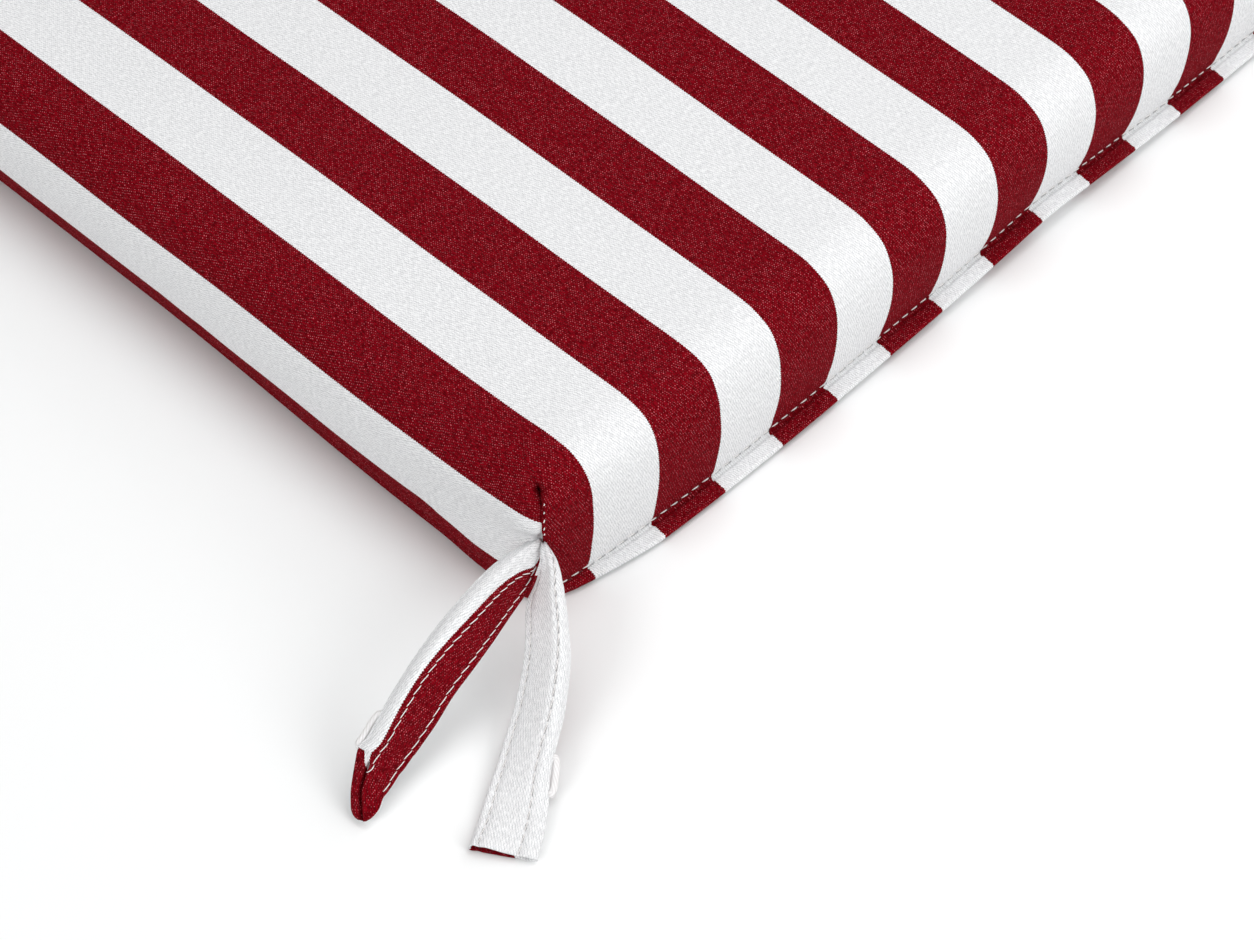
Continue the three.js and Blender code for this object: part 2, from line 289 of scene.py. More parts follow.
def makeMarkGroup():
    # stitch marks, the stitches' painted shadows and dents: capsules one pitch apart along X on the line Y =
    # 0, at a distance of sqrt(max(|x - middle| - length / 2, 0)^2 + y^2), full up to 0.3 of their radius and
    # gone at 1
    group, w = newGroup("stitch marks", ("Pitch", "Length", "Radius"), ("Mask",))
    given = w.node("NodeGroupInput")
    vector, pitch, length, radius = (w.out(given, name) for name in ("Vector", "Pitch", "Length", "Radius"))
    x, y = w.split(vector)
    beyond = w.math("MAXIMUM", w.math("ABSOLUTE", x % pitch - pitch * 0.5) - length * 0.5, 0.0)
    distance = w.math("SQRT", beyond ** 2.0 + y ** 2.0)
    w.feed(w.node("NodeGroupOutput").inputs["Mask"], w.ramp(distance / radius, 0.3, 1.0, 1.0, 0.0))
    return group


weaveGroup = makeWeaveGroup(weaveSizes)
markGroup = makeMarkGroup()


def newMaterial(name):
    # an empty material with one Principled shader
    material = bpy.data.materials.new(name)
    material.use_nodes = True
    material.node_tree.nodes.clear()
    w = Wiring(material.node_tree)
    shader = w.node("ShaderNodeBsdfPrincipled")
    w.feed(w.node("ShaderNodeOutputMaterial").inputs["Surface"], w.out(shader))
    return material, w, shader


canvasLook = {
    "stripe": 25.0 * mm,
    "firstBorder": 205.5 * mm,  # where a red stripe ends and a white one begins, going inwards
    "red": (0.24, 0.002, 0.008),
    # the deep colours: painted shade in the weave's hollows between threads, and the darker thin places of
    # the yarn
    "redDeep": (0.045, 0.0003, 0.001),
    "redDot": (1.0, 0.22, 0.26),
    "redStreak": 0.7,  # how much darker the thin places are
    "white": (0.93, 0.933, 0.94),
    "whiteDeep": (0.4, 0.405, 0.42),
    "whiteDot": (0.5, 0.5, 0.53),
    "whiteStreak": 0.3,
    "whiteHollow": 0.8,  # how much of the red's painted shade in the weave's hollows and of its dots the white shows
    "whiteBright": 0.6,
    "dotPower": 1.8,  # how few of the dots are bright
    "patchScale": 260.0,
    "patchLeast": 0.55,
    "roughness": 0.9,
    "specular": 0.03,
    "bump": 0.55,
    "bumpDistance": 0.12 * mm,
    # the stitch marks' colour is painted shadow of the stitches beside the seams; markDepth dents the bump
    "markPitch": 4.3 * mm,
    "markLength": 2.3 * mm,
    "markRadius": 0.42 * mm,
    "markShade": 0.5,
    "markDepth": 1.6,
    "markColour": (0.05, 0.045, 0.045),
}


def makeCanvas(name, look):
    # block stripes across the cloth's own U, a twill in height and tone with painted shade in its hollows,
    # and along the seams the stitches' painted shadows over dents in the bump;
    # a stripe is red where (first border - U) / stripe, modulo 2, is above 1
    material, w, shader = newMaterial(name)
    s = Sizes(**look)
    cloth = w.uvMap("cloth")
    weave = w.node("ShaderNodeGroup", node_tree=weaveGroup)
    w.feed(weave.inputs["Vector"], cloth)
    height, dot, chance, tooth, slub = (w.out(weave, i) for i in range(5))
    across, _ = w.split(w.uvMap("stripes"))
    isRed = w.math("GREATER_THAN", ((s.firstBorder - (across + tooth)) / s.stripe) % 2.0, 1.0)
    patchy = w.ramp(w.noise(cloth, s.patchScale, detail=3.0), 0.3, 0.7, s.patchLeast, 1.0)
    bright = dot * chance ** s.dotPower * patchy
    streak = w.ramp(slub, 0.3, 0.7)
    # painted shade between the threads: darker where the weave's height is low, varied at random by each
    # cell's chance
    hollow = (1.0 - w.ramp(height, 0.0, 0.9)) * (chance * 0.7 + 0.3)
    red = w.mix(hollow, s.red, s.redDeep)
    red = w.mix(streak * s.redStreak, red, s.redDeep)
    red = w.mix(bright, red, s.redDot)
    white = w.mix(hollow * s.whiteHollow, s.white, s.whiteDeep)
    white = w.mix(streak * s.whiteStreak, white, s.whiteDeep)
    white = w.mix(bright * s.whiteBright, white, s.whiteDot)
    given = (w.uvMap("seam"), s.markPitch, s.markLength, s.markRadius)
    mark = w.made("ShaderNodeGroup", given, node_tree=markGroup)
    # the stitches' painted shadow darkens the colour; the same mask dents the bump below
    colour = w.mix(mark * s.markShade, w.mix(isRed, white, red), s.markColour)
    w.feed(shader.inputs["Base Color"], colour)
    w.bump(shader, height - mark * s.markDepth, s.bump, s.bumpDistance)
    shader.inputs["Roughness"].default_value = s.roughness
    shader.inputs["Specular IOR Level"].default_value = s.specular
    return material


# a thread's shade colour is painted shade in the grooves between its twisted plies
threadLook = {
    "colour": (0.95, 0.93, 0.92), "shade": (0.76, 0.73, 0.72), "roughness": 0.6, "turn": 0.7 * mm,
    "bump": 0.5, "bumpDistance": 0.08 * mm,
}
cordLook = dict(
    threadLook, colour=(0.86, 0.85, 0.85), shade=(0.72, 0.7, 0.7), roughness=0.7, turn=1.9 * mm)


def makeThread(name, look):
    # slanted rings along the thread's own V, as two plies twisted together, the darker rings painted shade
    # between the plies: sin(2 pi (V / turn + U per mm))
    material, w, shader = newMaterial(name)
    s = Sizes(**look)
    u, v = w.split(w.uvMap("cloth"))
    share = w.math("SINE", (v / s.turn + u * (1.0 / mm)) * (2 * math.pi)) * 0.5 + 0.5
    w.feed(shader.inputs["Base Color"], w.mix(share, s.shade, s.colour))
    w.bump(shader, share, s.bump, s.bumpDistance)
    shader.inputs["Roughness"].default_value = s.roughness
    return material


canvas = makeCanvas("striped canvas", canvasLook)
thread = makeThread("sewing thread", threadLook)
cord = makeThread("loop cord", cordLook)
print("materials made")


# the filled cushion

cushionSizes = {
    "halfX": cushionHigh[0],
    "halfY": 221.3,  # to the widest line of an end wall, the flange not counted
    "edgeHeight": 52.5,
    "crown": cushionHigh[2] - 52.5,
    "crownAcross": 1.5,  # powers of the crown's fall, across the stripes and along them
    "crownAlong": 1.65,
    "rollWidth": 13.0,
    "cornerSquare": 0.12,
    "topRoll": 15.0,
    "widestHeight": 33.0,
    "endInset": 3.3,  # how far a wall's foot lies behind its widest line
    "sideInset": 1.0,
    "insetParts": ((0.72, 1.6), (0.28, 9)),  # shares of it, each with its power of the way down
    "endBearing": (30, 60),  # degrees from X over which a side's wall turns into an end's
    "endBow": 6.3,  # how far the corners are drawn in
    "sideBow": 1.5,
    "bowPower": 5,
    "seamAtCorner": 5.5,
    "seamLift": 6.8,  # the end seams rise towards their middle, mostly over this share of the half width
    "seamReach": 0.27,
    "seamBlunt": 0.03,
    "seamAtSide": 10.0,
    "underRoll": 11.0,
    "flangeStart": 4.0,  # from the side, and the length over which the flange grows
    "flangeTaper": 38.0,
    "taperPower": 0.6,
    "flangeWidth": 5.8,
    "flangeThickness": 4.2,
    "grooveOut": (0.03, 0.07, 0.13, 0.2, 0.3, 0.5),  # the groove beside the seam, in shares of that width
    "grooveRise": (-0.7, -1.1, -1.1, -0.8, -0.6, -0.85),
    "noseRadius": 1.7,
    "noseDroop": 1.3,
    "backOut": (0.4, 0.08),  # the flange's underside
    "backRise": (-4.1, -4.1),
    "wavesFrom": 20.0,  # height from which the cloth's slow waves are full
}
cushionGrid = {
    "rollLines": 14, "rollCrowd": 1.5, "arcSteps": 400, "flatLines": 150, "rollRows": 12, "wallRows": 16,
    "wallCrowd": 1.25, "noseRows": 9, "underRows": 5, "rings": 8,
}
noSeam = 50.0  # a distance in the seam map at which no painted stitch shadow or dent shows


def lineTable(half, sizes, grid):
    # the lines of one direction: where each starts, how far it has turned, and its place along the cloth,
    # by the arc length of the roll's ellipse (rollWidth sin t, topRoll cos t)
    s, g = Sizes(**sizes), Sizes(**grid)
    angle = math.pi / 4 * (1 - np.linspace(0, 1, g.rollLines + 1)[:-1] ** g.rollCrowd)
    fine = np.linspace(0, math.pi / 2, g.arcSteps)
    pace = np.hypot(s.rollWidth * np.cos(fine), s.topRoll * np.sin(fine))
    arc = np.concatenate([[0], np.cumsum((pace[1:] + pace[:-1]) / 2 * np.diff(fine))])
    edge = half - s.rollWidth
    level = np.linspace(-edge, edge, g.flatLines + 1)
    inner = np.concatenate([np.full(len(angle), -edge), level, np.full(len(angle), edge)])
    tilt = np.concatenate([-np.tan(angle), np.zeros(len(level)), np.tan(angle[::-1])])
    past = edge + np.interp(angle, fine, arc)
    return inner, tilt, np.concatenate([-past, level, past[::-1]])


def drawIn(points, sizes):
    # the corners are drawn in: each end and side bows out by a high power of the place along it
    s = Sizes(**sizes)
    x, y = np.abs(points[..., 0] / s.halfX), np.abs(points[..., 1] / s.halfY)
    drawn = points.copy()
    drawn[..., 0] *= 1 - s.sideBow / s.halfX * y ** s.bowPower
    drawn[..., 1] *= 1 - s.endBow / s.halfY * x ** s.bowPower
    return drawn


def crownAt(x, y, sizes):
    # crown * (1 - |x / halfX|^crownAcross) * (1 - |y / halfY|^crownAlong)
    s = Sizes(**sizes)
    across = 1 - np.minimum(1, np.abs(x / s.halfX)) ** s.crownAcross
    along = 1 - np.minimum(1, np.abs(y / s.halfY)) ** s.crownAlong
    return s.crown * across * along


def rollRadius(tiltX, tiltY, sizes):
    # the roll's radius in plan, larger on a corner's diagonal: width * (1 + square * sin(2 bearing)^2)
    doubled = 2 * tiltX * tiltY / np.maximum(tiltX ** 2 + tiltY ** 2, 1e-9)
    return sizes["rollWidth"] * (1 + sizes["cornerSquare"] * doubled ** 2)


def rolled(innerX, tiltX, innerY, tiltY, tilt, sizes):
    # a rounded box's surface: the inner point plus a radius along the unit normal, lifted by the crown
    s = Sizes(**sizes)
    normal = unit(np.stack(np.broadcast_arrays(tiltX, tiltY, tilt), -1).astype(float))
    reach = rollRadius(tiltX, tiltY, sizes)
    x = innerX + reach * normal[..., 0]
    y = innerY + reach * normal[..., 1]
    z = s.edgeHeight - s.topRoll * (1 - normal[..., 2])
    return np.stack([x, y, z + crownAt(x, y, sizes) * normal[..., 2]], -1), normal


def flangeProfile(sizes, grid):
    # from the seam down into the groove, up onto the flange, round its drooping nose and back underneath
    s = Sizes(**sizes)
    turn = np.linspace(math.pi / 2, -math.pi / 2, grid["noseRows"])
    share = s.noseRadius / s.flangeWidth
    out = np.concatenate([s.grooveOut, 1 - share + share * np.cos(turn), s.backOut])
    nose = s.noseRadius * np.sin(turn) - s.noseDroop - s.noseRadius
    return out, np.concatenate([s.grooveRise, nose, s.backRise])


def wallColumns(innerX, tiltX, innerY, tiltY, sizes, grid):
    # one column for each point of the rim, from 45 degrees of the roll down to the flat underside; a wall's
    # inset grows below its widest line as the sum of share * (way down)^power
    s, g = Sizes(**sizes), Sizes(**grid)
    count = len(innerX)
    flat = unit(np.stack([tiltX, tiltY], -1))
    radius = rollRadius(tiltX, tiltY, sizes)
    endShare = smoothStep(*s.endBearing, np.degrees(np.arctan2(np.abs(tiltY), np.abs(tiltX))))
    onEnd = np.abs(tiltY) >= np.abs(tiltX)

    def outFrom(inset):
        return np.stack([innerX, innerY], -1) + (radius - inset)[:, None] * flat

    rows, normals = [], []
    for tilt in np.tan(math.pi / 4 * (1 - np.linspace(0, 1, g.rollRows + 1))):
        point, normal = rolled(innerX, tiltX, innerY, tiltY, np.full(count, tilt), sizes)
        rows.append(point)
        normals.append(normal)
    edge = outFrom(np.zeros(count))
    place = np.where(onEnd, edge[:, 0] / s.halfX, edge[:, 1] / s.halfY)
    liftEnd = np.exp(-np.hypot(place, s.seamBlunt) / s.seamReach) - math.exp(-1 / s.seamReach)
    liftSide = (s.seamAtSide - s.seamAtCorner) * (1 - place ** 2)
    seam = s.seamAtCorner + np.where(onEnd, s.seamLift * liftEnd, liftSide)
    inset = s.sideInset + (s.endInset - s.sideInset) * endShare
    wallTop = s.edgeHeight - s.topRoll
    outward = np.concatenate([flat, np.zeros((count, 1))], -1)

    def addRow(plan, z):
        rows.append(np.concatenate([plan, np.broadcast_to(z, (count,))[:, None]], -1))
        normals.append(outward)

    for share in 1 - (1 - np.linspace(0, 1, g.wallRows + 1)[1:]) ** g.wallCrowd:
        z = wallTop + (seam - wallTop) * share
        below = np.clip((s.widestHeight - z) / (s.widestHeight - seam), 0, 1)
        addRow(outFrom(inset * sum(part * below ** power for part, power in s.insetParts)), z)
    seamRow = len(rows) - 1
    toCorner = (s.halfX - s.flangeStart - np.abs(edge[:, 0])) / s.flangeTaper
    share = np.where(onEnd, np.clip(toCorner, 0, 1) ** s.taperPower, 0)
    root = seam - s.flangeThickness
    outs, rises = flangeProfile(sizes, grid)
    plain = -s.flangeThickness * (np.arange(len(outs)) + 1) / len(outs)
    seamPlan = outFrom(inset)
    for out, rise, level in zip(outs, rises, plain):
        plan = seamPlan.copy()
        plan[:, 1] += s.flangeWidth * share * out * np.sign(flat[:, 1])
        addRow(plan, seam + level + (rise - level) * share)
    rootInset = np.minimum(inset, s.underRoll / 4)
    for angle in np.linspace(0, math.pi / 2, g.underRows + 1)[1:]:
        plan = outFrom(rootInset + (s.underRoll - rootInset) * (1 - np.cos(angle)))
        addRow(plan, root * (1 - np.sin(angle)))
    return np.stack(rows, 1), np.stack(normals, 1), seamRow


dartSizes = {
    "top": 50.7,  # where the corner seam opens
    "full": 49.0,
    "cornerZone": (-2, 6),  # past the corner's centre, where the pull sets in
    "slit": 3.2,  # how deep the seam is pulled in
    "slitWidth": 0.65,
    "slitBelow": 0.35,  # the share of that depth below its top part
    "slitTop": (38, 46),
    "pit": 2.6,  # the deeper and wider hole at its top
    "pitWidth": 0.6,
    "pitHeight": 48.4,
    "pitLength": 1.5,
    "lean": 1.6,  # how far its top leans towards the side
    "leanZone": (42.7, 51.7),
    "valley": 1.3,  # the softer hollow on the side of the long wall
    "valleyWidth": 4.5,
    "valleyOnEnd": 0.35,
    "tuck": 3.8,  # the side wall turns in under a soft roll, above the ties
    "tuckHeight": 28.8,
    "roll": 1.5,
    "rollHeight": 35.0,
    "foldWidth": 2.9,
    "tuckLength": 12.0,
    "tuckEdge": (1.5, -1.0),
}


def pullDarts(points, normals, sizes, darts):
    # each corner is pulled in along its seam: a narrow slit with a pit at its top, a hollow beside it and
    # a roll above a tuck; every part fades from the seam as exp(-|aside| / width)
    s, d = Sizes(**sizes), Sizes(**darts)
    x, y, height = np.abs(points[..., 0]), np.abs(points[..., 1]), points[..., 2]
    beyondX, beyondY = x - (s.halfX - s.rollWidth), y - (s.halfY - s.rollWidth)
    aside = (beyondY - beyondX) / math.sqrt(2) + d.lean * smoothStep(*d.leanZone, height)
    near = smoothStep(*d.cornerZone, np.minimum(beyondX, beyondY))
    depth = smoothStep(d.top, d.full, height)

    def bell(at, width):
        return np.exp(-((height - at) / width) ** 2)

    pit = bell(d.pitHeight, d.pitLength)
    slit = d.slit * (d.slitBelow + (1 - d.slitBelow) * smoothStep(*d.slitTop, height)) + d.pit * pit
    slit = slit * np.exp(-np.abs(aside) / (d.slitWidth + d.pitWidth * pit))
    hollow = d.valley * np.exp(-np.abs(aside) / d.valleyWidth) * np.where(aside < 0, 1, d.valleyOnEnd)
    fade = np.exp(-np.abs(aside) / d.tuckLength) * smoothStep(*d.tuckEdge, aside)
    fold = fade * (d.tuck * bell(d.tuckHeight, d.foldWidth) - d.roll * bell(d.rollHeight, d.foldWidth))
    drawn = (slit + hollow) * depth * near + fold * near
    return points - normals * drawn[..., None], drawn


settleSizes = {
    "sideSwell": 2.4,  # the long walls swell some way from each corner
    "swellAt": 152.0,
    "swellLength": 50.0,
    "swellAtFoot": 0.5,
    "footSwell": (2.4, 168, 200),  # close to the corners their foot swells too: how far, from where to where
    "footHollow": (-1.0, 95, 50),  # and towards the middle it draws in
    "rootSwell": (0.7, 178, 195),
    "rootHollow": (-2.3, 165, 40),
    "shoulderHeights": (52, 38),  # heights over which shoulder, foot and root take over
    "footHeights": (34, 13),
    "rootHeights": (11, 6),
    "cornerFade": (219, 207),
    "endFlat": -1.7,  # the end walls are a little flatter beside the corners
    "endAt": 155.0,
    "endLength": 42.0,
    "endPlain": -0.4,
    "endLow": (0.3, 6, 18),
    "endHigh": (0.7, 24, 40),
    "endTop": (58, 49),
}


def settle(points, normals, sizes):
    # how the stuffing has settled, as a shift along the wall's own direction, from three heights' shifts
    # joined by smooth steps; a swell is amount * exp(-((place - at) / length)^2)
    s = Sizes(**sizes)
    x, y, z = np.abs(points[..., 0]), np.abs(points[..., 1]), points[..., 2]

    def graded(row, place):
        return row[0] * smoothStep(row[1], row[2], place)

    shoulder = s.sideSwell * np.exp(-((y - s.swellAt) / s.swellLength) ** 2)
    foot = s.swellAtFoot * shoulder + graded(s.footSwell, y) + graded(s.footHollow, y)
    root = graded(s.rootSwell, y) + graded(s.rootHollow, y)
    onSide = shoulder * smoothStep(*s.shoulderHeights, z)
    for lower, heights in ((foot, s.footHeights), (root, s.rootHeights)):
        onSide = onSide + (lower - onSide) * smoothStep(*heights, z)
    onSide = onSide * smoothStep(*s.cornerFade, y)
    flatter = s.endFlat * np.exp(-((x - s.endAt) / s.endLength) ** 2) + s.endPlain
    onEnd = flatter * (graded(s.endLow, z) + graded(s.endHigh, z)) * smoothStep(*s.endTop, z)
    shift = onSide * normals[..., 0] ** 2 + onEnd * normals[..., 1] ** 2
    return points + normals * (1, 1, 0) * shift[..., None]


waveTable = [
    # height; the lengths across, along and upwards over which a sine turns by one radian; where it starts
    (0.15, 31, -43, np.inf, math.pi / 2 - 0.7),
    (0.15, 31, 43, np.inf, 1.5 - math.pi / 2),
    (0.22, 17, 61, np.inf, 2.0),
    (0.16, np.inf, 23, -19, 0.7),
    (0.10, 9.5, -13, 7, 0.0),
]


def clothWaves(points):
    # slow swells of the stuffed cloth: the sum of height * sin(x / across + y / along + z / up + start)
    return sum(height * np.sin((points / lengths).sum(-1) + start) for height, *lengths, start in waveTable)


seamStitch = {
    "pitch": 4.3, "dash": 2.9, "radius": 0.21, "rise": 0.38, "sink": 0.16, "slant": 0.25, "arch": 0.6,
    "endSquare": 2.08, "endPower": 8, "endLeast": 0.12, "rings": 9, "sides": 8,
}
dartStitch = dict(seamStitch, pitch=2.6, dash=0.9, radius=0.17)
tieStitch = dict(
    seamStitch, pitch=3.5, dash=3.45, radius=0.14, rise=0.2, sink=0.05, slant=0.45, arch=0.25,
    rings=11, sides=7,
)
puckerSizes = {"depth": 0.13, "fade": 2.6, "start": 0.8, "wander": 0.6, "wanderLengths": (2.9, 7.7)}
markSide = 0.6  # how far below the seam the stitches' painted shadows and dents lie


def seamPuckers(along, away, sizes):
    # the stitches gather the cloth a little: a wave of one stitch along the seam, with a slow wander, that
    # fades away from it as exp(-away / fade)
    s = Sizes(**sizes)
    wander = s.wander * np.sin(along / s.wanderLengths[0] + 1) * np.sin(along / s.wanderLengths[1])
    wave = np.sin(2 * math.pi * along / seamStitch["pitch"]) + wander
    return s.depth * wave * np.exp(-away / s.fade) * smoothStep(0, s.start, away)


def cellCorners(near, far):
    # the corners of each cell between a line of a grid and the next, in the order of gridQuads
    return np.stack([near[:, :-1], near[:, 1:], far[:, 1:], far[:, :-1]], 2)


def wallCorners(values):
    # the walls' columns go right round, so the last one meets the first
    return cellCorners(values, np.roll(values, -1, axis=0))


def topCorners(values):
    # the top's lines run the other way round than the walls' columns
    return cellCorners(values[:-1], values[1:])[:, :, [0, 3, 2, 1]]


def makeCushion(sizes, grid):
    # the top is a grid of lines; the walls hang from its rim in columns; rings close the flat base
    innerX, tiltX, placeX = lineTable(sizes["halfX"], sizes, grid)
    innerY, tiltY, placeY = lineTable(sizes["halfY"], sizes, grid)
    nx, ny = len(innerX), len(innerY)
    upX, upY = np.arange(nx - 1), np.arange(ny - 1)
    rimI = np.concatenate([upX, np.full(ny - 1, nx - 1), nx - 1 - upX, np.zeros(ny - 1, int)])
    rimJ = np.concatenate([np.zeros(nx - 1, int), upY, np.full(nx - 1, ny - 1), ny - 1 - upY])
    endSegment = np.repeat([True, False, True, False], [nx - 1, ny - 1, nx - 1, ny - 1])
    onEnd = (endSegment | np.roll(endSegment, 1))[:, None]
    tiltI, tiltJ = tiltX[rimI], tiltY[rimJ]
    walls, wallNormals, seamRow = wallColumns(innerX[rimI], tiltI, innerY[rimJ], tiltJ, sizes, grid)
    columns, rows = walls.shape[:2]
    upward = np.ones((nx, ny))
    top, topNormals = rolled(innerX[:, None], tiltX[:, None], innerY[None], tiltY[None], upward, sizes)

    # the cloth's own coordinates: the walls go on from the rim by the distance down them
    steps = np.linalg.norm(np.diff(walls, axis=1), axis=-1)
    down = np.concatenate([np.zeros((columns, 1)), np.cumsum(steps, 1)], 1)
    fromSeam = down - down[:, seamRow:seamRow + 1]
    puckers = np.where(onEnd, seamPuckers(walls[..., 0], np.abs(fromSeam), puckerSizes), 0)
    walls = walls + wallNormals * puckers[..., None]
    _, pulled = pullDarts(walls, wallNormals, sizes, dartSizes)
    x, y = placeX[rimI][:, None], placeY[rimJ][:, None]
    asEnd = np.stack(np.broadcast_arrays(x, y + np.sign(y) * down), -1)
    seamX = np.broadcast_to(walls[:, seamRow, :1], fromSeam.shape)
    seamPlace = np.stack([seamX, np.where(onEnd, fromSeam - markSide, noSeam)], -1)

    inside = np.ones((nx, ny), bool)
    inside[rimI, rimJ] = False
    index = np.zeros((nx, ny), int)
    index[rimI, rimJ] = np.arange(columns) * rows
    index[inside] = columns * rows + np.arange(inside.sum())
    points = np.concatenate([walls.reshape(-1, 3), top[inside]])
    normals = np.concatenate([wallNormals.reshape(-1, 3), topNormals[inside]])
    points, _ = pullDarts(points, normals, sizes, dartSizes)
    points = settle(points, normals, settleSizes)
    swell = np.clip(points[:, 2] / sizes["wavesFrom"], 0, 1)
    points = drawIn(points + normals * (clothWaves(points) * swell)[:, None], sizes)

    # the underside: rings that close in on the middle of the flat base
    shares = 1 - np.linspace(0, 1, grid["rings"] + 1)[1:-1]
    base = points[:columns * rows].reshape(columns, rows, 3)[:, -1]
    rings = (base * shares[:, None, None]).reshape(-1, 3)
    first = len(points)
    points = np.concatenate([points, rings, [[0, 0, 0]]])
    points[first:, 2] = 0

    wallQuads = gridQuads(columns + 1, rows) % (columns * rows)
    topQuads = topCorners(index).reshape(-1, 4)
    ringIndex = np.concatenate([(np.arange(columns) * rows + rows - 1)[None],
                                first + np.arange(len(rings)).reshape(-1, columns)])
    after = np.roll(ringIndex, -1, axis=1)
    ringQuads = np.stack([ringIndex[:-1], ringIndex[1:], after[1:], after[:-1]], -1).reshape(-1, 4)
    middle = np.stack([ringIndex[-1], np.full(columns, len(points) - 1), after[-1]], -1)

    # corners' cloth coordinates, in the order of the faces
    topPlace = topCorners(np.stack(np.meshgrid(placeX, placeY, indexing="ij"), -1)).reshape(-1, 2)
    underPlace = points[np.concatenate([ringQuads.ravel(), middle.ravel()])][:, :2]

    def clothMap(sideDown):
        asSide = np.stack(np.broadcast_arrays(x + np.sign(x) * sideDown, y), -1)
        onWalls = np.where(endSegment[:, None, None, None], wallCorners(asEnd), wallCorners(asSide))
        return np.concatenate([onWalls.reshape(-1, 2), topPlace, underPlace])

    seamMap = np.full((len(topPlace) + len(underPlace), 2), noSeam)
    seamMap = np.concatenate([wallCorners(seamPlace).reshape(-1, 2), seamMap])
    layers = {"stripes": clothMap(down - pulled), "seam": seamMap}
    piece = addMesh(
        "filled_cushion", points, [wallQuads, topQuads, ringQuads, middle], canvas, clothMap(down), layers)
    walls = points[:columns * rows].reshape(columns, rows, 3)
    darts = np.nonzero(np.abs(np.abs(tiltI) - np.abs(tiltJ)) < 1e-6)[0]
    return piece, walls[:, seamRow], endSegment, walls[darts]


fillSizes = {
    "frames": 8,
    "quality": 3,
    "pressure": 4.0,
    "cap": 1.0,  # the furthest that a point of the cover moves
    "smaller": 0.9,  # how much lower the top starts
    "wider": 0.6,  # and how much further out the long walls, which the swelling top draws in
    "heldBelow": 13.0,  # seams, flanges and underside
    "wallFade": 9.0,
    "heldCorner": (205.0, 203.0),
    "cornerFade": 16.0,
}


def vertexValues(mesh, name):
    # one row of three numbers for each vertex
    values = np.empty(len(mesh.vertices) * 3)
    mesh.vertices.foreach_get(name, values)
    return values.reshape(-1, 3)


def fillOut(piece, sizes):
    # the filling pushes the cover out: a cloth simulation under pressure, from a slightly lower top, held at
    # the seams and corners; its result, at most the cap away from the start, becomes the mesh, each point
    # moved by cap * tanh(distance / cap)
    s = Sizes(**sizes)
    mesh, scene = piece.data, bpy.context.scene
    points, normals = vertexValues(mesh, "co") / mm, vertexValues(mesh, "normal")
    atCorner = np.ones(len(points))
    for axis, full in enumerate(s.heldCorner):
        atCorner = atCorner * smoothStep(full - s.cornerFade, full, np.abs(points[:, axis]))
    level = np.clip(normals[:, 2], 0, 1) ** 2 * (1 - atCorner)
    fade = smoothStep(s.heldBelow, s.heldBelow + s.wallFade, points[:, 2])
    onWall = normals[:, 0] ** 2 * fade * (1 - atCorner)
    start = points + normals * (s.wider * onWall - s.smaller * level)[:, None]
    mesh.vertices.foreach_set("co", (start * mm).ravel())
    held = np.nonzero((points[:, 2] < s.heldBelow) | (atCorner >= 1))[0]
    piece.vertex_groups.new(name="held").add(held.tolist(), 1.0, "REPLACE")
    cloth = piece.modifiers.new("filling", "CLOTH")
    cloth.settings.quality = s.quality
    cloth.settings.use_pressure = True
    cloth.settings.uniform_pressure_force = s.pressure
    cloth.settings.effector_weights.gravity = 0
    cloth.settings.vertex_group_mass = "held"
    cloth.collision_settings.use_collision = False
    for number in range(1, s.frames + 1):
        scene.frame_set(number)
    pushed = piece.evaluated_get(bpy.context.evaluated_depsgraph_get())
    moved = vertexValues(pushed.to_mesh(), "co") / mm - start
    pushed.to_mesh_clear()
    piece.modifiers.remove(cloth)
    piece.vertex_groups.clear()
    scene.frame_set(1)
    distance = np.linalg.norm(moved, axis=1, keepdims=True)
    moved *= s.cap * np.tanh(distance / s.cap) / np.maximum(distance, 1e-9)
    mesh.vertices.foreach_set("co", ((start + moved) * mm).ravel())
    mesh.update()
    return np.percentile(((start + moved - points) * normals).sum(1), (0, 5, 50, 95, 100))


cushionPiece, seamLine, endSegment, dartLines = makeCushion(cushionSizes, cushionGrid)
print("cushion made,", len(cushionPiece.data.polygons), "faces")
print("cover pushed out by the filling, mm:", fillOut(cushionPiece, fillSizes).round(2))
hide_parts("cushion")
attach(cushionPiece, "root")


# stitches

def pathReach(points):
    # arc length along a line of points, counted from its start
    return np.concatenate([[0], np.cumsum(np.linalg.norm(np.diff(points, axis=0), axis=1))])


def alongPath(points, reach, at):
    # the line's point at each arc length
    return np.stack([np.interp(at, reach, points[:, i]) for i in range(3)], -1)


def tubeAround(centre, side, up, radius, sides):
    # a ring round each point of a line: centre + radius * (cos t * side + sin t * up)
    turn = np.linspace(0, 2 * math.pi, sides, endpoint=False)
    ring = np.cos(turn)[:, None] * side[..., None, :] + np.sin(turn)[:, None] * up[..., None, :]
    return centre[..., None, :] + ring * radius, turn


def tubeFaces(rings, sides):
    # the quads round a tube and the two faces that cap it
    ends = np.arange(sides)
    return gridQuads(rings, sides, wrap=True), np.stack([ends[::-1], ends + (rings - 1) * sides])


